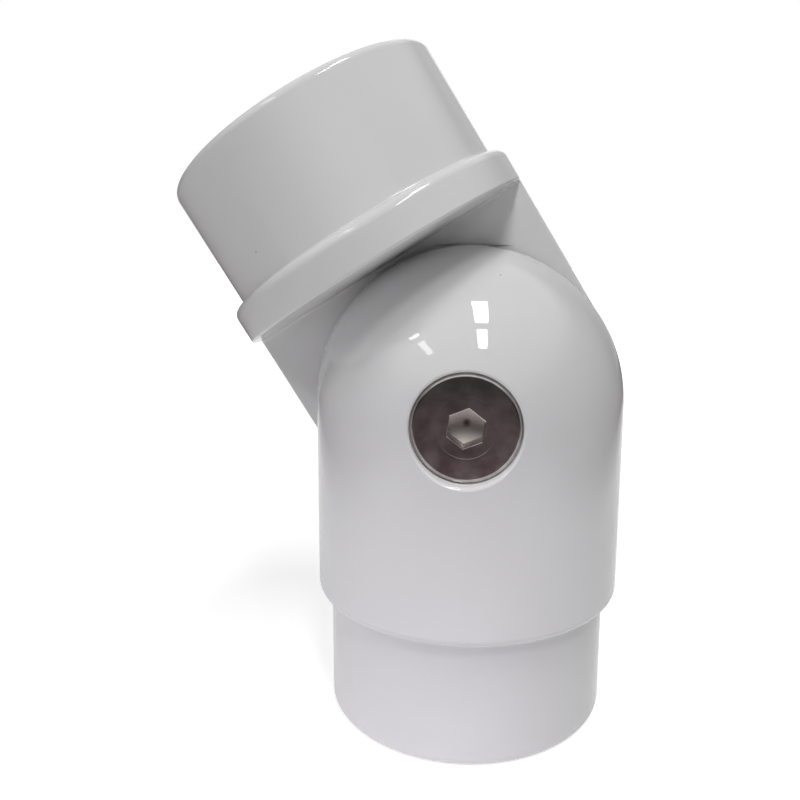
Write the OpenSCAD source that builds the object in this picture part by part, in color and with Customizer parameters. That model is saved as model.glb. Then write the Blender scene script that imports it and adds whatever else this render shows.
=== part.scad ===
// Adjustable handrail elbow, in millimetres.
// Two castings of one pattern close into a ball about a single clamp screw. Each has a round spigot
// that a rail tube slides over, a collar of the tube's own diameter and an ear of half its thickness.
// The lower casting's ear is in front, the upper casting's ear is behind it.
// +Z runs up the lower tube's axis and -Y faces the head of the screw. The origin is on that axis at
// the lower tube's seat, where the cut end of the tube stops against the collar.

/* [Tube] */
// Outside diameter of the rail tube, which the collars and the ball share
tube_od = 50.8; // [40:0.1:63.5]
// Wall thickness of the rail tube
tube_wall = 2; // [1.2:0.1:3]
// Play between a spigot and the bore of its tube, on the radius
tube_play = 0.15; // [0.05:0.01:0.4]

/* [Castings] */
// Length of a spigot, from the tube's seat to its open end
spigot_length = 20; // [12:0.5:60]
// Height of a collar
collar_height = 5.8; // [4.5:0.1:15]
// Play between the ball and the collar that passes over it
ball_play = 0.8; // [0.3:0.1:2]
// Wall thickness of a spigot, of the cap over its bore and of an ear's flat side
wall = 4; // [3:0.25:5]
// Radius on the edge of a collar at the tube's seat
seat_round = 1.5; // [0.4:0.1:1.8]
// Radius on the edge of a collar at the ball
rim_round = 0.5; // [0.2:0.1:1]
// Radius on the outer edge of a spigot's open end
end_round = 1.3; // [0.3:0.1:2]
// Chamfer on the inner edge of a spigot's open end
mouth_chamfer = 0.6; // [0.2:0.1:1.5]

/* [Pivot] */
// Angle between the two tubes, 0 when the elbow is straight
bend = 32; // [-90:1:90]
// Gap between the flat faces of the two ears
face_gap = 0.2; // [0.1:0.05:0.5]
// Depth of the screw's head below the top of the ball
head_sink = 2; // [1.8:0.1:4]
// Wall of the solid boss around the screw's head
boss_wall = 3.2; // [2:0.1:6]

/* [Screw] */
// Diameter of the thread
screw_d = 8; // [6:1:10]
// Diameter of the countersunk head
head_d = 15.7; // [14:0.1:20]
// Height of the straight rim of the head
head_rim = 0.3; // [0.2:0.05:0.8]
// Height of the bevel on the edge of the head's face
head_edge = 0.3; // [0.1:0.05:0.5]
// Width of that bevel
head_bevel = 0.6; // [0.2:0.05:1]
// Play round the rim of the head
head_play = 0.15; // [0.1:0.05:0.5]
// Gap between the cone of the head and its seat
cone_gap = 0.1; // [0.05:0.05:0.3]
// Play between the screw and the holes that it passes through
hole_play = 0.25; // [0.1:0.05:0.5]
// Size of the hexagon socket across its flats
socket_af = 5; // [4:0.5:6]
// Depth of the flats of the socket
socket_depth = 3; // [2:0.1:4]
// Angle of the socket, seen from the front
socket_turn = 22; // [0:1:60]
// Reach of the screw past the flat faces
thread_grip = 11.6; // [8:0.1:16]
// Chamfer on the tip of the screw
tip_chamfer = 0.8; // [0.3:0.1:1.2]

/* [Insert and washer] */
// Outside diameter of the threaded insert
insert_d = 12; // [11.5:0.1:14]
// Room in the insert past the tip of the screw
tip_room = 1.5; // [0.5:0.1:3]
// Play between the insert's thread and the screw, on the radius
thread_play = 0.05; // [0.02:0.01:0.1]
// Play between the insert and its pocket, on the radius
insert_play = 0.03; // [0.02:0.01:0.1]
// Chamfer on the ends of the insert
insert_chamfer = 0.5; // [0.2:0.1:1]
// Outside diameter of the friction washer
washer_d = 30; // [20:0.5:34]
// Thickness of the friction washer
washer_t = 1; // [0.6:0.1:2]
// Play between the washer and its recess, on the radius
washer_play = 0.2; // [0.1:0.05:0.5]

/* [Hidden] */
$fn = 96;

// How far a cut runs past the faces that it opens
over = 1;

// Radii of the castings
body_r = tube_od / 2;
spigot_r = body_r - tube_wall - tube_play;
bore_r = spigot_r - wall;

// Distances from the pivot along a tube's axis
cap_top = body_r + ball_play;
cap_under = cap_top + wall;
tube_seat = cap_top + collar_height;
spigot_end = tube_seat + spigot_length;

// Distances from the plane between the ears. The head's are towards the front, the rest to the rear.
half_gap = face_gap / 2;
head_face = body_r - head_sink;
rim_top = head_face - head_edge;
cone_top = rim_top - head_rim;
washer_floor = washer_t - half_gap;
insert_end = thread_grip + tip_room;

// Radii of the screw, of its holes and of the boss
screw_r = screw_d / 2;
head_r = head_d / 2;
cone_length = head_r - screw_r;
hole_r = screw_r + hole_play;
counterbore_r = head_r + head_play;
boss_r = counterbore_r + boss_wall;

// The seat of the cone lies parallel to the head's 90 degree cone, cone_gap away from it
cone_apex = cone_top - head_r - cone_gap * sqrt(2);
seat_top = cone_apex + counterbore_r;
seat_bottom = cone_apex + hole_r;

coat_white = [0.85, 0.85, 0.87];
stainless = [0.62, 0.60, 0.58];
washer_black = [0.12, 0.12, 0.13];

// A square with its corner at the origin, less a quarter circle: what rounding off a corner takes away
module corner_waste(r) {
    difference() {
        translate([-over, -over]) square(r + over);
        translate([r, r]) circle(r);
        translate([r, -2 * over]) square(r + 2 * over);
        translate([-2 * over, r]) square(r + 2 * over);
    }
}

// Half section of the collar and the spigot, with the pivot at the origin
module turned_section() {
    difference() {
        union() {
            translate([0, -tube_seat]) square([body_r, collar_height]);
            translate([0, -spigot_end]) square([spigot_r, spigot_length + over]);
        }
        translate([body_r, -cap_top]) rotate(180) corner_waste(rim_round);
        translate([spigot_r, -spigot_end]) rotate(90) corner_waste(end_round);
    }
}

// Half section of the ear: the ball above, and the tube's diameter from it down to the collar
module ear_section() {
    intersection() {
        union() {
            circle(body_r);
            translate([0, -tube_seat]) square([body_r, tube_seat]);
        }
        translate([0, -tube_seat]) square([body_r, tube_seat + body_r]);
    }
}

// The hollow that the core leaves: a round bore up to the cap, and a pocket beyond it in the ear
module core() {
    translate([0, 0, -spigot_end - over]) cylinder(h = spigot_end + over - cap_under, r = bore_r);
    translate([0, 0, -spigot_end - over])
        cylinder(h = over + mouth_chamfer, r1 = bore_r + mouth_chamfer + over, r2 = bore_r);
    intersection() {
        translate([0, 0, -cap_under - over]) cylinder(h = cap_under + over - boss_r, r = bore_r);
        translate([-body_r, -body_r, -spigot_end]) cube([tube_od, body_r - half_gap - wall, spigot_end]);
    }
}

// What rounding off the collar's edge at the tube's seat takes away
module seat_waste() {
    rotate_extrude() translate([body_r, -tube_seat]) rotate(90) corner_waste(seat_round);
}

// One casting, with the pivot at the origin, its tube below and its ear in front
module casting() {
    difference() {
        union() {
            rotate_extrude() turned_section();
            intersection() {
                rotate_extrude() ear_section();
                translate([-tube_od, -tube_od, -tube_od]) cube([2 * tube_od, tube_od - half_gap, 2 * tube_od]);
            }
        }
        seat_waste();
        core();
    }
}

// Turns a shape made along +Z so that it points to the front, along -Y
module to_front() {
    rotate([90, 0, 0]) children();
}

// Puts a shape made about the pivot in its place on the lower tube's axis
module at_pivot() {
    translate([0, 0, tube_seat]) children();
}

// Puts a shape made about the pivot in the upper casting's frame, which leans by the bend
module at_bend() {
    at_pivot() rotate([0, -bend, 0]) children();
}

// The hole for the screw: clearance hole, cone seat and counterbore
module screw_hole() {
    to_front()
        rotate_extrude()
            polygon([
                [0, -over],
                [hole_r, -over],
                [hole_r, seat_bottom],
                [counterbore_r, seat_top],
                [counterbore_r, body_r + over],
                [0, body_r + over]
            ]);
}

// The recess for the washer and the blind pocket for the insert, made towards the rear
module rear_pocket() {
    rotate([-90, 0, 0]) {
        cylinder(h = washer_floor, r = washer_d / 2 + washer_play);
        cylinder(h = insert_end, r = insert_d / 2 + insert_play);
    }
}

module lower_casting() {
    color(coat_white)
        at_pivot()
            difference() {
                casting();
                screw_hole();
            }
}

module upper_casting() {
    color(coat_white)
        at_bend()
            difference() {
                rotate([180, 0, 0]) casting();
                rear_pocket();
            }
}

module pivot_screw() {
    shank = cone_top - cone_length + thread_grip;
    color(stainless)
        at_pivot()
            to_front()
                difference() {
                    union() {
                        translate([0, 0, -thread_grip])
                            cylinder(h = tip_chamfer, r1 = screw_r - tip_chamfer, r2 = screw_r);
                        translate([0, 0, tip_chamfer - thread_grip])
                            cylinder(h = shank - tip_chamfer, r = screw_r);
                        translate([0, 0, cone_top - cone_length])
                            cylinder(h = cone_length, r1 = screw_r, r2 = head_r);
                        translate([0, 0, cone_top]) cylinder(h = head_rim, r = head_r);
                        translate([0, 0, rim_top]) cylinder(h = head_edge, r1 = head_r, r2 = head_r - head_bevel);
                    }
                    translate([0, 0, head_face - socket_depth])
                        rotate(socket_turn)
                            cylinder(h = socket_depth + over, r = socket_af / sqrt(3), $fn = 6);
                    translate([0, 0, head_face - socket_depth - socket_af / 4])
                        cylinder(h = socket_af / 4, r1 = 0, r2 = socket_af / 2);
                }
}

module thread_insert() {
    length = insert_end - washer_floor;
    insert_r = insert_d / 2;
    color(stainless)
        at_bend()
            rotate([-90, 0, 0])
                translate([0, 0, washer_floor])
                    difference() {
                        union() {
                            cylinder(h = insert_chamfer, r1 = insert_r - insert_chamfer, r2 = insert_r);
                            translate([0, 0, insert_chamfer]) cylinder(h = length - 2 * insert_chamfer, r = insert_r);
                            translate([0, 0, length - insert_chamfer])
                                cylinder(h = insert_chamfer, r1 = insert_r, r2 = insert_r - insert_chamfer);
                        }
                        translate([0, 0, -over]) cylinder(h = length + 2 * over, r = screw_r + thread_play);
                    }
}

module friction_washer() {
    color(washer_black)
        at_bend()
            rotate([-90, 0, 0])
                translate([0, 0, -half_gap])
                    difference() {
                        cylinder(h = washer_t, r = washer_d / 2);
                        translate([0, 0, -over]) cylinder(h = washer_t + 2 * over, r = hole_r);
                    }
}

lower_casting();
upper_casting();
pivot_screw();
thread_insert();
friction_washer();
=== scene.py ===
import math

import bmesh
import bpy
from mathutils import Matrix, Vector


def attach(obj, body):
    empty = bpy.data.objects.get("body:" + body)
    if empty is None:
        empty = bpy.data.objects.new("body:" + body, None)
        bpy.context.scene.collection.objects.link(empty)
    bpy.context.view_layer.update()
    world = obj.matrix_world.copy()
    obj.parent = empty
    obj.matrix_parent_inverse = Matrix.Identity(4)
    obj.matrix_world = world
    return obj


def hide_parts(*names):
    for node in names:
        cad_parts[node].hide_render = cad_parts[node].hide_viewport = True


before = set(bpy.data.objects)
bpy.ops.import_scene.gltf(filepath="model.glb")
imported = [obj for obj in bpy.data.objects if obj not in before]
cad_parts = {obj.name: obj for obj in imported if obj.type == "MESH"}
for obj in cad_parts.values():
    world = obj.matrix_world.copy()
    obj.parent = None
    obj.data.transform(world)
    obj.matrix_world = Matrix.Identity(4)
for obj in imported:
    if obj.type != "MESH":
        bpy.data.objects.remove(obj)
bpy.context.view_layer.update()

MM = 0.001
DEGREE = math.radians(1)

# Sizes of the castings, the same as the solids'. Heights along a tube are distances from the pivot.
BODY_R = 25.4 * MM
SPIGOT_R = 23.25 * MM
BORE_R = 19.25 * MM
CAP_TOP = 26.2 * MM
CAP_UNDER = 30.2 * MM
TUBE_SEAT = 32.0 * MM
SPIGOT_END = 52.0 * MM
SEAT_ROUND = 1.5 * MM
END_ROUND = 1.3 * MM
WALL = 4.0 * MM
HALF_GAP = 0.1 * MM
BEND = 32 * DEGREE
FLOOR = TUBE_SEAT - SPIGOT_END

# Soft edges of the coat: on the castings, in a spigot's mouth and on the lip of the counterbore
EDGE_ROUND = 0.4 * MM
MOUTH_ROUND = 0.6 * MM
LIP_ROUND = 0.6 * MM
LIP_ANGLES = (0, 22, 44, 64, 80)

# Sizes of the screw and of its hole. Heights are distances from the pivot towards the front.
SCREW_R = 4.0 * MM
HEAD_R = 7.85 * MM
HEAD_FACE = 23.4 * MM
HEAD_EDGE = 0.3 * MM
HEAD_BEVEL = 0.58 * MM
BEVEL_STEEP = 50 * DEGREE
HEAD_RIM = 0.3 * MM
CONE_TOP = HEAD_FACE - HEAD_EDGE - HEAD_RIM
CONE_FOOT = CONE_TOP - (HEAD_R - SCREW_R)
COUNTERBORE_R = 8.0 * MM
HOLE_R = 4.25 * MM
CONE_GAP = 0.1 * MM
SEAT_APEX = CONE_TOP - HEAD_R - CONE_GAP * math.sqrt(2)
BOSS_R = 11.2 * MM
SOCKET_FLATS = 5.0 * MM
SOCKET_DEPTH = 3.0 * MM
SOCKET_TURN = 22 * DEGREE
SOCKET_EDGE = 0.12 * MM
DRILL_CONE = SOCKET_FLATS / 4
RING_R = 0.56 * HEAD_R
RING_HALF = 0.1 * MM
RING_DEPTH = 0.02 * MM
SCREW_TIP = -11.6 * MM
TIP_CHAMFER = 0.8 * MM
PITCH = 1.25 * MM
THREAD_FOOT = SCREW_TIP + TIP_CHAMFER
THREAD_LENGTH = 24 * MM
THREAD_DEPTH = 0.7 * MM
THREAD_FLANK = 0.42

# Sizes of the insert and of the washer. Heights are distances from the pivot towards the rear.
INSERT_R = 6.0 * MM
INSERT_END = 13.1 * MM
INSERT_CHAMFER = 0.5 * MM
INSERT_BORE = 4.05 * MM
INSERT_GROOVE = 0.4 * MM
GROOVE_OFFSET = 2.5 * MM
POCKET_PLAY = 0.03 * MM
WASHER_R = 15.0 * MM
WASHER_PLAY = 0.2 * MM
WASHER_FLOOR = 0.9 * MM
WASHER_EDGE = 0.15 * MM

# Fineness of the turned forms, round their axis and along the curves of their sections
HALF_TURN_STEPS = 88
FULL_TURN_STEPS = 128
HOLE_STEPS = 192
SCREW_STEPS = 64
WASHER_STEPS = 96
MOUTH_STEPS = 6
END_STEPS = 8
SEAT_STEPS = 10
EAR_ROWS = 18
BALL_STEPS = 48
BEVEL_STEPS = 8
THREAD_ROWS = 10

# How far a cut runs past the faces that it opens, and how close two points are to count as one
OVER = 1.0 * MM
WELD = 0.0005 * MM

# How close to a round a point has to lie to count as on it, and how squarely a face looks along an axis
ON_ROUND = 0.01 * MM
SQUARELY = 0.9
EXACTLY = 0.9999

# Angles past which an edge is softened, and past which it stays sharp in the shading
SOFTENED = 40 * DEGREE
CASTING_SHARP = 35 * DEGREE
TURNED_SHARP = 30 * DEGREE

# Colours of the finishes and of the stage
COAT_SHADE = (0.784, 0.777, 0.785)
COAT_WHITE = (0.834, 0.828, 0.836)
COAT_SPECK = (0.22, 0.20, 0.19)
STEEL_DARK = (0.43, 0.40, 0.39)
STEEL_LIGHT = (0.67, 0.645, 0.635)
# Painted shade inside the screw's socket
STEEL_SOCKET_SHADE = (0.46, 0.425, 0.405)
# Painted shade at the deepest point of the socket's floor
STEEL_DEEP_SHADE = (0.12, 0.105, 0.1)
PLASTIC_DARK = (0.025, 0.025, 0.028)
PLASTIC_LIGHT = (0.05, 0.05, 0.054)
PAPER_SHADE = (0.80, 0.80, 0.80)
PAPER_WHITE = (0.82, 0.82, 0.82)
CLOTH_DARK = (0.012, 0.01, 0.012)
CLOTH_WARM = (0.1, 0.06, 0.066)
SCREEN_DARK = (0.022, 0.019, 0.021)
SCREEN_LIGHT = (0.032, 0.028, 0.031)
WHITE = (1, 1, 1, 1)

# The span that most of a noise lies in
NOISE_SPAN = (0.3, 0.7)


def pick_out(piece):
    """Makes one piece the active one and the only one selected."""
    bpy.ops.object.select_all(action="DESELECT")
    piece.select_set(True)
    bpy.context.view_layer.objects.active = piece


def open_mesh(piece, kind="VERT"):
    """Goes into edit mode on a piece, with nothing selected."""
    pick_out(piece)
    bpy.ops.object.mode_set(mode="EDIT")
    bpy.ops.mesh.select_mode(type=kind)
    bpy.ops.mesh.select_all(action="DESELECT")


def close_mesh():
    """Goes back to object mode."""
    bpy.ops.object.mode_set(mode="OBJECT")


def choose(piece, kind, test):
    """Selects the faces, edges or verts of the open mesh for which the test holds."""
    shape = bmesh.from_edit_mesh(piece.data)
    for item in getattr(shape, kind):
        if test(item):
            item.select_set(True)
    bmesh.update_edit_mesh(piece.data)


def weld_and_face_out(piece):
    """Merges points that lie on each other and turns every face outwards."""
    open_mesh(piece)
    bpy.ops.mesh.select_all(action="SELECT")
    bpy.ops.mesh.remove_doubles(threshold=WELD)
    bpy.ops.mesh.normals_make_consistent(inside=False)
    close_mesh()


def set_down(piece, turn=(0, 0, 0), place=(0, 0, 0)):
    """Turns and moves a piece, and puts its place in its mesh."""
    piece.rotation_euler = turn
    piece.location = place
    pick_out(piece)
    bpy.ops.object.transform_apply(location=True, rotation=True, scale=True)


def lean(piece):
    """Puts a piece made about the pivot in its place on the upper casting, which leans by the bend."""
    set_down(piece, turn=(0, -BEND, 0), place=(0, 0, TUBE_SEAT))


def name_piece(piece, name):
    """Names a piece and its mesh."""
    piece.name = name
    piece.data.name = name
    return piece


def arc(middle, radius, first, last, count):
    """Points of an arc in a half section, from the first to the last angle in degrees."""
    points = []
    for index in range(count + 1):
        angle = (first + (last - first) * index / count) * DEGREE
        points.append((middle[0] + radius * math.cos(angle), middle[1] + radius * math.sin(angle)))
    return points


def draw_section(name, points):
    """Draws the line of a half section: one point, pulled out from corner to corner."""
    bpy.ops.object.select_all(action="DESELECT")
    bpy.ops.mesh.primitive_plane_add(size=MM)
    line = name_piece(bpy.context.object, name)
    open_mesh(line)
    bpy.ops.mesh.select_all(action="SELECT")
    bpy.ops.mesh.merge(type="CENTER")
    here = Vector((0, 0, 0))
    for index, (radius, height) in enumerate(points):
        there = Vector((radius, 0, height))
        if index == 0:
            bpy.ops.transform.translate(value=there - here)
        else:
            bpy.ops.mesh.extrude_vertices_move(TRANSFORM_OT_translate={"value": there - here})
        here = there
    close_mesh()
    return line


def spin_section(line, turn, steps):
    """Spins a half section about the Z axis."""
    open_mesh(line)
    bpy.ops.mesh.select_all(action="SELECT")
    bpy.ops.mesh.spin(steps=steps, angle=turn, center=(0, 0, 0), axis=(0, 0, 1), dupli=False)
    close_mesh()
    return line


def turn_solid(name, points, steps=FULL_TURN_STEPS):
    """A solid turned about the Z axis, from a half section that ends on the axis or where it began."""
    solid = spin_section(draw_section(name, points), 360 * DEGREE, steps)
    weld_and_face_out(solid)
    return solid


def use_modifier(piece, modifier):
    """Applies a modifier of a piece to its mesh."""
    pick_out(piece)
    bpy.ops.object.modifier_apply(modifier=modifier.name)


def cut_away(piece, cutter):
    """Takes the shape of the cutter out of a piece, and throws the cutter away."""
    cut = piece.modifiers.new("cut", "BOOLEAN")
    cut.operation = "DIFFERENCE"
    cut.solver = "EXACT"
    cut.object = cutter
    use_modifier(piece, cut)
    bpy.data.objects.remove(cutter, do_unlink=True)


def soften_edges(piece, width, segments):
    """Rounds every edge that turns sharply, as the coat or a tumbled edge does."""
    soft = piece.modifiers.new("soft edges", "BEVEL")
    soft.limit_method = "ANGLE"
    soft.angle_limit = SOFTENED
    soft.width = width
    soft.segments = segments
    soft.use_clamp_overlap = False
    use_modifier(piece, soft)


def shade_smooth(piece, angle):
    """Shades a piece smooth, but for the edges that turn by more than the angle."""
    pick_out(piece)
    bpy.ops.object.shade_smooth_by_angle(angle=angle)


def copy_piece(piece, name):
    """A copy with a mesh of its own."""
    pick_out(piece)
    bpy.ops.object.duplicate(linked=False)
    return name_piece(bpy.context.object, name)


def round_normal(point):
    """The exact normal at a point on a casting's ball, tube, spigot or bore, and zero anywhere else."""
    across = math.hypot(point.x, point.y)
    outwards = Vector((point.x, point.y, 0)).normalized()
    beside_bore = -SPIGOT_END + MOUTH_ROUND - WELD < point.z < -BOSS_R
    beside_tube = -TUBE_SEAT + SEAT_ROUND - WELD < point.z <= 0
    beside_spigot = -SPIGOT_END + END_ROUND - WELD < point.z < -TUBE_SEAT - EDGE_ROUND
    if beside_bore and abs(across - BORE_R) < ON_ROUND:
        return -outwards
    if point.z > 0 and abs(point.length - BODY_R) < ON_ROUND:
        return point.normalized()
    if beside_tube and abs(across - BODY_R) < ON_ROUND:
        return outwards
    if beside_spigot and abs(across - SPIGOT_R) < ON_ROUND:
        return outwards
    return Vector((0, 0, 0))


def true_round(piece):
    """Gives the ball and the round sides their exact normals, so that cuts leave no trace in the gloss."""
    normals = [round_normal(vertex.co) for vertex in piece.data.vertices]
    piece.data.normals_split_custom_set_from_vertices(normals)


def casting_blank():
    """One casting before its pocket and hole, with its pivot at the origin and its ear in front."""
    spigot = [(0, -CAP_UNDER), (BORE_R, -CAP_UNDER), (BORE_R, -CAP_UNDER - 2 * EDGE_ROUND)]
    spigot += arc((BORE_R + MOUTH_ROUND, -SPIGOT_END + MOUTH_ROUND), MOUTH_ROUND, 180, 270, MOUTH_STEPS)
    spigot += arc((SPIGOT_R - END_ROUND, -SPIGOT_END + END_ROUND), END_ROUND, -90, 0, END_STEPS)
    spigot += [(SPIGOT_R, -TUBE_SEAT)]
    collar = arc((BODY_R - SEAT_ROUND, -TUBE_SEAT + SEAT_ROUND), SEAT_ROUND, -90, 0, SEAT_STEPS)
    collar += [(BODY_R, -CAP_TOP)]
    ear = [(BODY_R, -CAP_TOP * (EAR_ROWS - index) / EAR_ROWS) for index in range(1, EAR_ROWS)]
    ear += arc((0, 0), BODY_R, 0, 90, BALL_STEPS)
    front = draw_section("front half", spigot + collar + ear)
    spin_section(front, 180 * DEGREE, HALF_TURN_STEPS)
    rear = draw_section("rear half", spigot + collar + [(0, -CAP_TOP)])
    spin_section(rear, -180 * DEGREE, HALF_TURN_STEPS)

    bpy.ops.object.select_all(action="DESELECT")
    rear.select_set(True)
    front.select_set(True)
    bpy.context.view_layer.objects.active = front
    bpy.ops.object.join()
    weld_and_face_out(front)

    open_mesh(front, "EDGE")
    bpy.ops.mesh.select_non_manifold(extend=False, use_wire=False, use_boundary=True, use_multi_face=False,
                                     use_non_contiguous=False, use_verts=False)
    bpy.ops.mesh.edge_face_add()
    bpy.ops.transform.translate(value=(0, -HALF_GAP, 0))
    close_mesh()
    weld_and_face_out(front)
    return front


def sink_pocket(piece):
    """Sinks the core's pocket from the bore's end into the ear, its flat side on a corner of the bore."""
    step = 180 * DEGREE / HALF_TURN_STEPS
    corner = round(math.asin((HALF_GAP + WALL) / BORE_R) / step)
    flat_side = -BORE_R * math.sin(corner * step)

    def at_bore_end(face):
        return face.normal.z < -SQUARELY and abs(face.calc_center_median().z + CAP_UNDER) < WELD

    def over_pocket(face):
        return at_bore_end(face) and face.calc_center_median().y < flat_side

    open_mesh(piece, "FACE")
    choose(piece, "faces", at_bore_end)
    bpy.ops.mesh.bisect(plane_co=(0, flat_side, 0), plane_no=(0, 1, 0))
    bpy.ops.mesh.select_all(action="DESELECT")
    choose(piece, "faces", over_pocket)
    bpy.ops.mesh.extrude_region_move(TRANSFORM_OT_translate={"value": (0, 0, CAP_UNDER - BOSS_R)})
    close_mesh()
    weld_and_face_out(piece)


def outer_height(across, angle):
    """How far the casting reaches before the pivot, at a distance and an angle from the screw's axis."""
    x = across * math.cos(angle)
    z = across * math.sin(angle)
    if z > 0:
        return math.sqrt(BODY_R ** 2 - across ** 2)
    return math.sqrt(BODY_R ** 2 - x ** 2)


def screw_hole_cutter():
    """The shape of the screw's hole. Its lip follows the ball above and the tube's round below."""
    lip = []
    for angle in LIP_ANGLES:
        out = LIP_ROUND * (1 - math.cos(angle * DEGREE))
        down = LIP_ROUND * (1 - math.sin(angle * DEGREE))
        lip.append((out, down))
    lip_end = 2 * LIP_ROUND
    lip_rise = 0.35 * LIP_ROUND
    lip.append((lip_end, -lip_rise))
    section = [
        (0, -OVER),
        (HOLE_R, -OVER),
        (HOLE_R, SEAT_APEX + HOLE_R),
        (COUNTERBORE_R, SEAT_APEX + COUNTERBORE_R),
    ]
    section += [(COUNTERBORE_R + out, BODY_R - down) for out, down in lip]
    section += [(COUNTERBORE_R + lip_end, BODY_R + OVER), (0, BODY_R + OVER)]
    hole = turn_solid("screw hole", section, HOLE_STEPS)
    levels = {round((BODY_R - down) / WELD): down for out, down in lip}
    for vertex in hole.data.vertices:
        across = math.hypot(vertex.co.x, vertex.co.y)
        level = round(vertex.co.z / WELD)
        if across > COUNTERBORE_R - WELD and level in levels:
            angle = math.atan2(vertex.co.y, vertex.co.x)
            vertex.co.z = outer_height(across, angle) - levels[level]
    set_down(hole, turn=(90 * DEGREE, 0, 0))
    return hole


def rear_pocket_cutter():
    """The recess for the washer and the blind pocket for the insert, towards the rear."""
    pocket = turn_solid("rear pocket", [
        (0, -OVER),
        (WASHER_R + WASHER_PLAY, -OVER),
        (WASHER_R + WASHER_PLAY, WASHER_FLOOR),
        (INSERT_R + POCKET_PLAY, WASHER_FLOOR),
        (INSERT_R + POCKET_PLAY, INSERT_END),
        (0, INSERT_END),
    ])
    set_down(pocket, turn=(-90 * DEGREE, 0, 0))
    return pocket


def finish_casting(piece):
    """Softens the edges of a casting, while its pivot is still at the origin and its tube below."""
    soften_edges(piece, EDGE_ROUND, segments=3)
    weld_and_face_out(piece)
    shade_smooth(piece, CASTING_SHARP)
    true_round(piece)


def make_castings():
    """Both castings, from one blank."""
    lower = name_piece(casting_blank(), "lower_casting_coated")
    sink_pocket(lower)
    upper = copy_piece(lower, "upper_casting_coated")

    cut_away(lower, screw_hole_cutter())
    finish_casting(lower)
    set_down(lower, place=(0, 0, TUBE_SEAT))

    set_down(upper, turn=(180 * DEGREE, 0, 0))
    cut_away(upper, rear_pocket_cutter())
    set_down(upper, turn=(180 * DEGREE, 0, 0))
    finish_casting(upper)
    set_down(upper, turn=(180 * DEGREE, 0, 0))
    lean(upper)
    return lower, upper


def cut_thread(piece):
    """Presses a thread into the finely divided part of the shank."""
    thread_top = THREAD_FOOT + THREAD_LENGTH
    for vertex in piece.data.vertices:
        across = math.hypot(vertex.co.x, vertex.co.y)
        if THREAD_FOOT - WELD <= vertex.co.z <= thread_top and abs(across - SCREW_R) < WELD:
            turn = math.atan2(vertex.co.y, vertex.co.x) / (360 * DEGREE)
            phase = (vertex.co.z / PITCH - turn) % 1.0
            groove = max(0.0, 1 - abs(phase - 0.5) / THREAD_FLANK)
            run_out = (thread_top - vertex.co.z) / (1.5 * PITCH)
            run_in = (vertex.co.z - THREAD_FOOT) / (0.3 * PITCH)
            deep = THREAD_DEPTH * groove * min(1.0, run_out, run_in)
            vertex.co.x *= (across - deep) / across
            vertex.co.y *= (across - deep) / across


def socket_cutter():
    """The hexagon of the socket, with the cone that the drill leaves below it."""
    length = SOCKET_DEPTH + OVER
    middle = HEAD_FACE - SOCKET_DEPTH + length / 2
    bpy.ops.object.select_all(action="DESELECT")
    bpy.ops.mesh.primitive_cylinder_add(vertices=6, radius=SOCKET_FLATS / math.sqrt(3), depth=length,
                                        location=(0, 0, middle))
    hexagon = name_piece(bpy.context.object, "hexagon")
    set_down(hexagon, turn=(0, 0, SOCKET_TURN - 90 * DEGREE), place=hexagon.location.copy())
    open_mesh(hexagon, "FACE")
    choose(hexagon, "faces", lambda face: face.normal.z < -SQUARELY)
    bpy.ops.mesh.extrude_region_move(TRANSFORM_OT_translate={"value": (0, 0, -DRILL_CONE)})
    bpy.ops.mesh.merge(type="CENTER")
    close_mesh()
    weld_and_face_out(hexagon)
    return hexagon


def head_edge():
    """Points of the rounded bevel from the rim of the head to its face."""
    round_r = HEAD_BEVEL / math.sin(BEVEL_STEEP)
    points = []
    for index in range(BEVEL_STEPS + 1):
        tilt = BEVEL_STEEP * (1 - index / BEVEL_STEPS)
        across = HEAD_R - HEAD_BEVEL + round_r * math.sin(tilt)
        height = HEAD_FACE - round_r * (1 - math.cos(tilt))
        points.append((across, height))
    return points


def soften_socket(screw):
    """Breaks the edge of the socket at the head's face."""
    reach = 0.6 * SOCKET_FLATS
    sharp = 60 * DEGREE

    def on_face(point):
        return abs(point.z - HEAD_FACE) < WELD and math.hypot(point.x, point.y) < reach

    def at_mouth(edge):
        return edge.calc_face_angle(0) > sharp and all(on_face(end.co) for end in edge.verts)

    open_mesh(screw, "EDGE")
    choose(screw, "edges", at_mouth)
    bpy.ops.mesh.bevel(offset=SOCKET_EDGE, segments=2, affect="EDGES")
    close_mesh()


def true_face(screw):
    """Gives the face of the head its exact normal, so that it shines as a flat one up to its edges."""
    mesh = screw.data
    ahead = Vector((0, 0, 1))
    normals = [Vector((0, 0, 0))] * len(mesh.loops)
    for face in mesh.polygons:
        if face.normal.z > EXACTLY and abs(face.center.z - HEAD_FACE) < WELD:
            for corner in face.loop_indices:
                normals[corner] = ahead
    mesh.normals_split_custom_set(normals)


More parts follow.
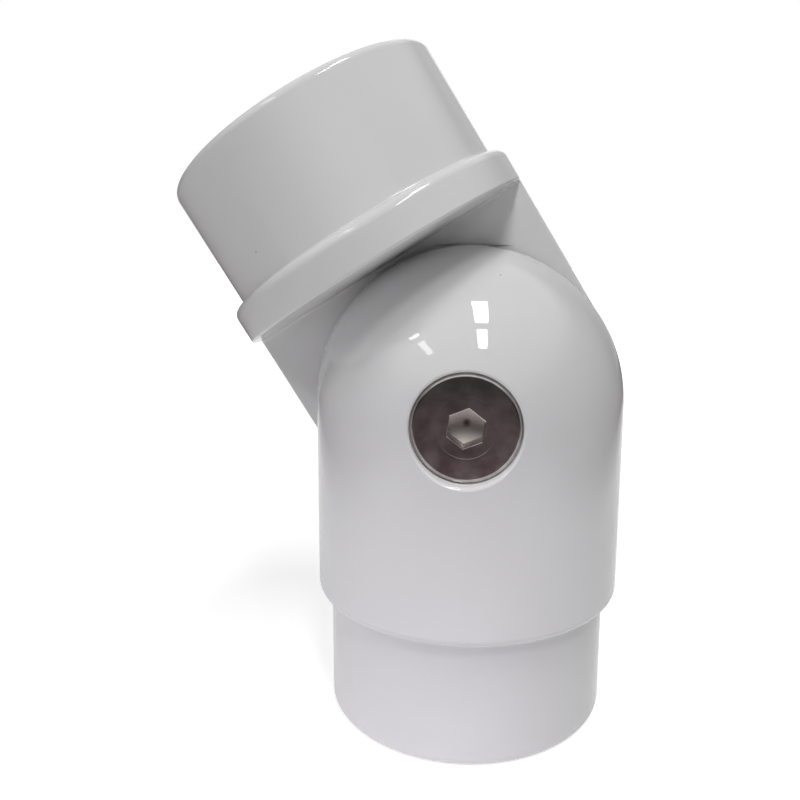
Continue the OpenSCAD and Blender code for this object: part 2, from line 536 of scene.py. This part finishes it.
def make_screw():
    """The countersunk socket screw: its thread, its bevelled head and the ring that the punch leaves."""
    rows = int(THREAD_LENGTH / PITCH * THREAD_ROWS)
    plain_r = 0.7 * SOCKET_FLATS
    section = [(0, SCREW_TIP), (SCREW_R - TIP_CHAMFER, SCREW_TIP)]
    section += [(SCREW_R, THREAD_FOOT + THREAD_LENGTH * index / rows) for index in range(rows + 1)]
    section += [(SCREW_R, CONE_FOOT), (HEAD_R, CONE_TOP)]
    section += head_edge()
    section += [
        (RING_R + RING_HALF, HEAD_FACE),
        (RING_R, HEAD_FACE - RING_DEPTH),
        (RING_R - RING_HALF, HEAD_FACE),
        (plain_r, HEAD_FACE),
        (0, HEAD_FACE),
    ]
    screw = turn_solid("socket_screw", section, SCREW_STEPS)
    cut_thread(screw)
    cut_away(screw, socket_cutter())
    soften_socket(screw)
    shade_smooth(screw, TURNED_SHARP)
    true_face(screw)
    set_down(screw, turn=(90 * DEGREE, 0, 0), place=(0, 0, TUBE_SEAT))
    return screw


def make_insert():
    """The threaded insert, with two grooves that hold it in the casting."""
    middle = (WASHER_FLOOR + INSERT_END) / 2
    section = [
        (INSERT_BORE, WASHER_FLOOR),
        (INSERT_R - INSERT_CHAMFER, WASHER_FLOOR),
        (INSERT_R, WASHER_FLOOR + INSERT_CHAMFER),
    ]
    for place in (middle - GROOVE_OFFSET, middle + GROOVE_OFFSET):
        section += [
            (INSERT_R, place - 2 * INSERT_GROOVE),
            (INSERT_R - INSERT_GROOVE, place - INSERT_GROOVE),
            (INSERT_R - INSERT_GROOVE, place + INSERT_GROOVE),
            (INSERT_R, place + 2 * INSERT_GROOVE),
        ]
    section += [
        (INSERT_R, INSERT_END - INSERT_CHAMFER),
        (INSERT_R - INSERT_CHAMFER, INSERT_END),
        (INSERT_BORE, INSERT_END),
        (INSERT_BORE, WASHER_FLOOR),
    ]
    insert = turn_solid("threaded_insert_bush", section, SCREW_STEPS)
    shade_smooth(insert, TURNED_SHARP)
    set_down(insert, turn=(-90 * DEGREE, 0, 0))
    lean(insert)
    return insert


def make_washer():
    """The friction washer, a flat ring with rounded edges."""
    section = [
        (HOLE_R, -HALF_GAP),
        (WASHER_R, -HALF_GAP),
        (WASHER_R, WASHER_FLOOR),
        (HOLE_R, WASHER_FLOOR),
        (HOLE_R, -HALF_GAP),
    ]
    washer = turn_solid("friction_washer_ring", section, WASHER_STEPS)
    soften_edges(washer, WASHER_EDGE, segments=2)
    shade_smooth(washer, TURNED_SHARP)
    set_down(washer, turn=(-90 * DEGREE, 0, 0))
    lean(washer)
    return washer


class Nodes:
    """The nodes and links of a finish or of the surroundings, under construction."""

    def __init__(self, owner):
        owner.use_nodes = True
        self.nodes = owner.node_tree.nodes
        self.links = owner.node_tree.links

    def add(self, kind, **settings):
        node = self.nodes.new(kind)
        for name, value in settings.items():
            setattr(node, name, value)
        return node

    def feed(self, source, socket):
        """Links another node's output to a socket, or sets the socket to a plain value."""
        if isinstance(source, bpy.types.NodeSocket):
            self.links.new(source, socket)
        else:
            socket.default_value = source

    def reckon(self, operation, *values):
        """One step of arithmetic on values, each a number or another node's output."""
        node = self.add("ShaderNodeMath", operation=operation)
        for value, socket in zip(values, node.inputs):
            self.feed(value, socket)
        return node.outputs["Value"]

    def seen(self):
        """One for what the camera, glass or gloss sees, and zero for what only lights a surface."""
        path = self.add("ShaderNodeLightPath").outputs
        direct = self.reckon("MAXIMUM", path["Is Camera Ray"], path["Is Transmission Ray"])
        return self.reckon("MAXIMUM", direct, path["Is Glossy Ray"])


class Finish(Nodes):
    """A material under construction, with its shader and the place on the piece."""

    def __init__(self, name):
        self.material = bpy.data.materials.new(name)
        super().__init__(self.material)
        self.shader = self.nodes["Principled BSDF"]
        self.place = self.add("ShaderNodeTexCoord").outputs["Object"]

    def noise(self, scale, detail=2.0, roughness=0.5):
        node = self.add("ShaderNodeTexNoise")
        self.feed(scale, node.inputs["Scale"])
        self.feed(detail, node.inputs["Detail"])
        self.feed(roughness, node.inputs["Roughness"])
        self.feed(self.place, node.inputs["Vector"])
        return node.outputs["Fac"]

    def spread(self, value, span, result):
        """Takes a value from one span to another, and holds it at the ends."""
        node = self.add("ShaderNodeMapRange")
        self.feed(span[0], node.inputs["From Min"])
        self.feed(span[1], node.inputs["From Max"])
        self.feed(result[0], node.inputs["To Min"])
        self.feed(result[1], node.inputs["To Max"])
        self.feed(value, node.inputs["Value"])
        return node.outputs["Result"]

    def length(self, vector):
        node = self.add("ShaderNodeVectorMath", operation="LENGTH")
        self.feed(vector, node.inputs[0])
        return node.outputs["Value"]

    def sides(self):
        """The X, Y and Z of the place on the piece."""
        node = self.add("ShaderNodeSeparateXYZ")
        self.feed(self.place, node.inputs["Vector"])
        return node.outputs

    def blend(self, share, first, second):
        """A colour between two, each a colour or another node's output."""
        node = self.add("ShaderNodeMix", data_type="RGBA")
        self.feed(share, node.inputs["Factor"])
        for name, colour in (("A", first), ("B", second)):
            socket = [inlet for inlet in node.inputs if inlet.name == name and inlet.type == "RGBA"][0]
            self.feed((*colour, 1) if isinstance(colour, tuple) else colour, socket)
        return [outlet for outlet in node.outputs if outlet.type == "RGBA"][0]

    def bump(self, height, distance, strength=1.0):
        node = self.add("ShaderNodeBump")
        self.feed(strength, node.inputs["Strength"])
        self.feed(distance, node.inputs["Distance"])
        self.feed(height, node.inputs["Height"])
        self.feed(node.outputs["Normal"], self.shader.inputs["Normal"])

    def colour(self, source):
        self.feed(source, self.shader.inputs["Base Color"])

    def roughness(self, source):
        self.feed(source, self.shader.inputs["Roughness"])

    def fade_out(self, share):
        """Lets a cloth fade to nothing where the share goes to zero, so that gloss shows no edge of it."""
        clear = self.add("ShaderNodeBsdfTransparent")
        mix = self.add("ShaderNodeMixShader")
        self.feed(share, mix.inputs["Fac"])
        self.feed(clear.outputs["BSDF"], mix.inputs[1])
        self.feed(self.shader.outputs["BSDF"], mix.inputs[2])
        self.feed(mix.outputs["Shader"], self.nodes["Material Output"].inputs["Surface"])


def white_coat():
    """Gloss white powder coat: slight clouds, a few specks, and the faint wave of a baked coat."""
    coat = Finish("white_coat_gloss")
    clouds = coat.noise(scale=70, detail=3)
    white = coat.blend(clouds, COAT_SHADE, COAT_WHITE)
    grains = coat.add("ShaderNodeTexVoronoi")
    coat.feed(140, grains.inputs["Scale"])
    coat.feed(coat.place, grains.inputs["Vector"])
    speck = coat.spread(grains.outputs["Distance"], span=(0.018, 0.032), result=(1.0, 0.0))
    coat.colour(coat.blend(speck, white, COAT_SPECK))
    patches = coat.noise(scale=160)
    coat.roughness(coat.spread(patches, NOISE_SPAN, result=(0.025, 0.045)))
    wave = coat.noise(scale=420, detail=1)
    coat.bump(wave, distance=0.0015 * MM)
    coat.shader.inputs["IOR"].default_value = 1.5
    return coat.material


def stainless():
    """Plain stainless: fine rings from turning, dull and bright patches, and a duller socket with painted
    shade inside, darkest at the middle of its floor.
    """
    steel = Finish("stainless_turned")
    centred = steel.add("ShaderNodeMapping")
    steel.feed((0, 0, -TUBE_SEAT), centred.inputs["Location"])
    steel.feed(steel.place, centred.inputs["Vector"])
    flat = steel.add("ShaderNodeVectorMath", operation="MULTIPLY")
    steel.feed(centred.outputs["Vector"], flat.inputs[0])
    steel.feed((1, 0, 1), flat.inputs[1])
    across = steel.length(flat.outputs["Vector"])

    patches = steel.noise(scale=330, detail=4, roughness=0.6)
    mottle = steel.spread(patches, span=(0.34, 0.66), result=(0.0, 1.0))
    tone = steel.blend(mottle, STEEL_DARK, STEEL_LIGHT)
    # Painted shade: inside the socket the steel is blended to a darker colour, as shade falls in the recess;
    # the same mask makes the socket duller
    depth = (-HEAD_FACE + 0.2 * MM, -HEAD_FACE + 0.5 * MM)
    below = steel.spread(steel.sides()["Y"], depth, result=(0.0, 1.0))
    wall = (SOCKET_FLATS * 0.58, SOCKET_FLATS * 0.62)
    within = steel.spread(across, wall, result=(1.0, 0.0))
    in_socket = steel.reckon("MULTIPLY", below, within)
    socket_shaded = steel.blend(in_socket, tone, STEEL_SOCKET_SHADE)
    # Painted shade: a dark point at the middle of the socket's floor, its deepest place
    middle = steel.spread(across, span=(0.2 * MM, 0.8 * MM), result=(1.0, 0.0))
    point = steel.reckon("MULTIPLY", below, middle)
    steel.colour(steel.blend(point, socket_shaded, STEEL_DEEP_SHADE))

    pressed_dullness = 0.27
    dullness = steel.spread(patches, NOISE_SPAN, result=(0.08, 0.17))
    steel.roughness(steel.reckon("MULTIPLY_ADD", in_socket, pressed_dullness, dullness))
    rings = steel.add("ShaderNodeTexNoise", noise_dimensions="1D")
    steel.feed(9000, rings.inputs["Scale"])
    steel.feed(across, rings.inputs["W"])
    steel.bump(rings.outputs["Fac"], distance=0.002 * MM)
    steel.shader.inputs["Metallic"].default_value = 1.0
    return steel.material


def washer_plastic():
    """Black plastic of the washer: matt, with a slight grain."""
    plastic = Finish("washer_plastic_matt")
    grain = plastic.noise(scale=2500)
    plastic.colour(plastic.blend(grain, PLASTIC_DARK, PLASTIC_LIGHT))
    plastic.roughness(plastic.spread(grain, NOISE_SPAN, result=(0.5, 0.62)))
    plastic.bump(grain, distance=0.01 * MM, strength=0.4)
    return plastic.material


def dress(piece, material, body, node):
    """Gives a piece its finish, and says what it rides on and which solid it replaces."""
    piece.data.materials.clear()
    piece.data.materials.append(material)
    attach(piece, body)
    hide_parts(node)


def make_floor():
    """A pale floor under the lower spigot. The camera sees it white where it is in open light."""
    bpy.ops.object.select_all(action="DESELECT")
    bpy.ops.mesh.primitive_plane_add(size=6, location=(0, 0, FLOOR))
    floor = name_piece(bpy.context.object, "floor")
    open_mesh(floor, "FACE")
    bpy.ops.mesh.select_all(action="SELECT")
    bpy.ops.mesh.subdivide(number_cuts=3)
    close_mesh()
    set_down(floor, place=floor.location.copy())
    paper = Finish("pale_paper")
    clouds = paper.noise(scale=30)
    paper.colour(paper.blend(clouds, PAPER_SHADE, PAPER_WHITE))
    paper.roughness(paper.spread(clouds, NOISE_SPAN, result=(0.85, 0.95)))
    open_light = paper.spread(paper.length(paper.place), span=(0.1, 0.4), result=(0.6, 1.0))
    lift = paper.reckon("MULTIPLY", paper.seen(), open_light)
    paper.shader.inputs["Emission Color"].default_value = WHITE
    paper.feed(lift, paper.shader.inputs["Emission Strength"])
    floor.data.materials.append(paper.material)


def show_in_gloss_only(card):
    """Hides a card of the stage from all but gloss."""
    card.visible_camera = False
    card.visible_diffuse = False
    card.visible_shadow = False
    card.visible_transmission = False


def make_floor_cloth():
    """A dark round cloth over the floor, thin under and behind the elbow, for the face of the screw."""
    thin = 0.25
    bpy.ops.object.select_all(action="DESELECT")
    bpy.ops.mesh.primitive_circle_add(vertices=72, radius=1.0, fill_type="NGON",
                                      location=(0, 0, FLOOR + 1 * MM))
    sheet = name_piece(bpy.context.object, "floor_cloth")
    open_mesh(sheet, "FACE")
    bpy.ops.mesh.select_all(action="SELECT")
    bpy.ops.mesh.inset(thickness=0.9)
    close_mesh()
    set_down(sheet, place=sheet.location.copy())
    cloth = Finish("dark_cloth")
    side = cloth.sides()
    near = cloth.spread(side["Y"], span=(-0.34, -0.16), result=(0.0, 1.0))
    cloth.colour(cloth.blend(near, CLOTH_DARK, CLOTH_WARM))
    weave = cloth.noise(scale=300)
    cloth.roughness(cloth.spread(weave, NOISE_SPAN, result=(0.8, 0.95)))
    before = cloth.spread(side["Y"], span=(-0.16, -0.09), result=(1.0, thin))
    beside = cloth.spread(cloth.reckon("ABSOLUTE", side["X"]), span=(0.11, 0.17), result=(thin, 1.0))
    cloth.fade_out(cloth.reckon("MAXIMUM", before, beside))
    sheet.data.materials.append(cloth.material)
    show_in_gloss_only(sheet)


def make_screen():
    """A grey screen round the elbow, lower in front and open behind, which keeps its gloss plain."""
    radius = 1.0
    height = 1.6
    slope = 0.38
    opening = 8 * DEGREE
    bpy.ops.object.select_all(action="DESELECT")
    bpy.ops.mesh.primitive_cylinder_add(vertices=72, radius=radius, depth=height, end_fill_type="NOTHING",
                                        location=(0, 0, FLOOR + height / 2))
    screen = name_piece(bpy.context.object, "grey_screen")
    set_down(screen, place=screen.location.copy())
    open_mesh(screen, "FACE")
    choose(screen, "faces", lambda face: face.calc_center_median().y > radius * math.cos(opening))
    bpy.ops.mesh.delete(type="FACE")
    close_mesh()
    cloth = Finish("grey_cloth")
    weave = cloth.noise(scale=60)
    cloth.colour(cloth.blend(weave, SCREEN_DARK, SCREEN_LIGHT))
    cloth.roughness(cloth.spread(weave, NOISE_SPAN, result=(0.8, 0.95)))
    side = cloth.sides()
    level = cloth.reckon("MULTIPLY_ADD", side["Y"], -slope, side["Z"])
    below_top = cloth.spread(level, span=(0.45, 0.85), result=(1.0, 0.0))
    thin_behind = cloth.spread(side["Y"], span=(0.75, 0.95), result=(1.0, 0.55))
    cloth.fade_out(cloth.reckon("MINIMUM", below_top, thin_behind))
    screen.data.materials.append(cloth.material)
    show_in_gloss_only(screen)


class Room(Nodes):
    """The surroundings: the nodes of the world, its background and the direction looked in."""

    def __init__(self, name):
        world = bpy.data.worlds.new(name)
        bpy.context.scene.world = world
        super().__init__(world)
        self.sky = self.nodes["Background"]
        self.direction = self.add("ShaderNodeTexCoord").outputs["Generated"]

    def glow(self, towards, sharpness, strength):
        """A soft glow of the room about one direction."""
        dot = self.add("ShaderNodeVectorMath", operation="DOT_PRODUCT")
        self.feed(self.direction, dot.inputs[0])
        self.feed(towards, dot.inputs[1])
        facing = self.reckon("MAXIMUM", dot.outputs["Value"], 0.0)
        return self.reckon("MULTIPLY", self.reckon("POWER", facing, sharpness), strength)

    def either(self, share, first, second):
        """The first value where the share is zero, and the second where it is one."""
        node = self.add("ShaderNodeMix", data_type="FLOAT")
        self.feed(share, node.inputs["Factor"])
        self.feed(first, node.inputs["A"])
        self.feed(second, node.inputs["B"])
        return node.outputs["Result"]


def make_surroundings():
    """A white room, which lights the elbow dimly, with a glow from the left and one from behind."""
    even = 0.04
    room = Room("pale room")
    left = room.glow(towards=(-0.985, 0, 0.174), sharpness=6.0, strength=0.83)
    behind = room.glow(towards=(0.25, 0.95, 0.19), sharpness=3.0, strength=1.0)
    soft_light = room.reckon("ADD", room.reckon("ADD", left, behind), even)
    room.sky.inputs["Color"].default_value = WHITE
    room.feed(room.either(room.seen(), soft_light, 1.0), room.sky.inputs["Strength"])


def add_lamp(name, kind, place, power, aim):
    """A lamp turned towards a point. Gloss does not show it."""
    bpy.ops.object.light_add(type=kind, location=place)
    lamp = bpy.context.object
    lamp.name = name
    lamp.data.energy = power
    lamp.rotation_euler = (Vector(aim) - lamp.location).to_track_quat("-Z", "Y").to_euler()
    lamp.visible_glossy = False
    return lamp


def add_panel(name, place, size, turn, power):
    """A level ceiling panel above the elbow, which gloss shows."""
    ceiling = TUBE_SEAT + 0.6
    panel = add_lamp(name, "AREA", (*place, ceiling), power, aim=(*place, 0))
    panel.rotation_euler = (0, 0, turn)
    panel.data.shape = "RECTANGLE"
    panel.data.size = size[0]
    panel.data.size_y = size[1]
    panel.visible_glossy = True


def make_lamps():
    """Two rows of ceiling panels, which the ball shows as bright rectangles, and a low spot."""
    right = 9.5 * DEGREE
    add_panel("panel_right_first", place=(0.069, -0.193), size=(0.096, 0.202), turn=right, power=1.47)
    add_panel("panel_right_second", place=(0.114, -0.480), size=(0.086, 0.241), turn=right, power=1.53)
    add_panel("panel_left_first", place=(-0.500, -0.312), size=(0.118, 0.105), turn=14 * DEGREE, power=0.38)
    add_panel("panel_left_second", place=(-0.440, -0.549), size=(0.088, 0.227), turn=10 * DEGREE, power=0.42)
    low = add_lamp("low_spot", "SPOT", place=(-0.18, -0.44, 0.04), power=2.2, aim=(0, -0.02, -0.024))
    low.data.color = (0.935, 0.88, 1.0)
    low.data.spot_size = 15 * DEGREE
    low.data.spot_blend = 1.0
    low.data.shadow_soft_size = 0.03


def make_camera():
    """The camera, close in front of the elbow and a little above the pivot."""
    beside = 2.173 * MM
    away = 126.449 * MM
    above = 24.712 * MM
    turn_degrees = 3.107
    dip_degrees = 9.134
    roll_degrees = 0.605
    focal_pixels = 762.05
    shift_pixels = (-41.912, -29.155)
    picture = 800
    sensor = 36
    bpy.ops.object.camera_add(location=(beside, -away, TUBE_SEAT + above))
    camera = bpy.context.object
    camera.name = "camera"
    turn = Matrix.Rotation(turn_degrees * DEGREE, 3, "Z")
    tilt = Matrix.Rotation((90 - dip_degrees) * DEGREE, 3, "X")
    roll = Matrix.Rotation(roll_degrees * DEGREE, 3, "Z")
    camera.rotation_euler = (turn @ tilt @ roll).to_euler()
    camera.data.sensor_width = sensor
    camera.data.lens = focal_pixels / picture * sensor
    camera.data.shift_x = shift_pixels[0] / picture
    camera.data.shift_y = shift_pixels[1] / picture
    camera.data.clip_start = 5 * MM
    camera.data.clip_end = 50
    bpy.context.scene.camera = camera


bpy.context.scene.view_settings.view_transform = "Standard"
make_camera()
make_surroundings()
make_lamps()
make_floor()
make_floor_cloth()
make_screen()

coat = white_coat()
steel = stainless()
lower, upper = make_castings()
dress(lower, coat, "lower_half", "lower_casting")
dress(upper, coat, "upper_half", "upper_casting")
dress(make_screw(), steel, "clamp_screw", "pivot_screw")
dress(make_insert(), steel, "upper_half", "thread_insert")
dress(make_washer(), washer_plastic(), "upper_half", "friction_washer")
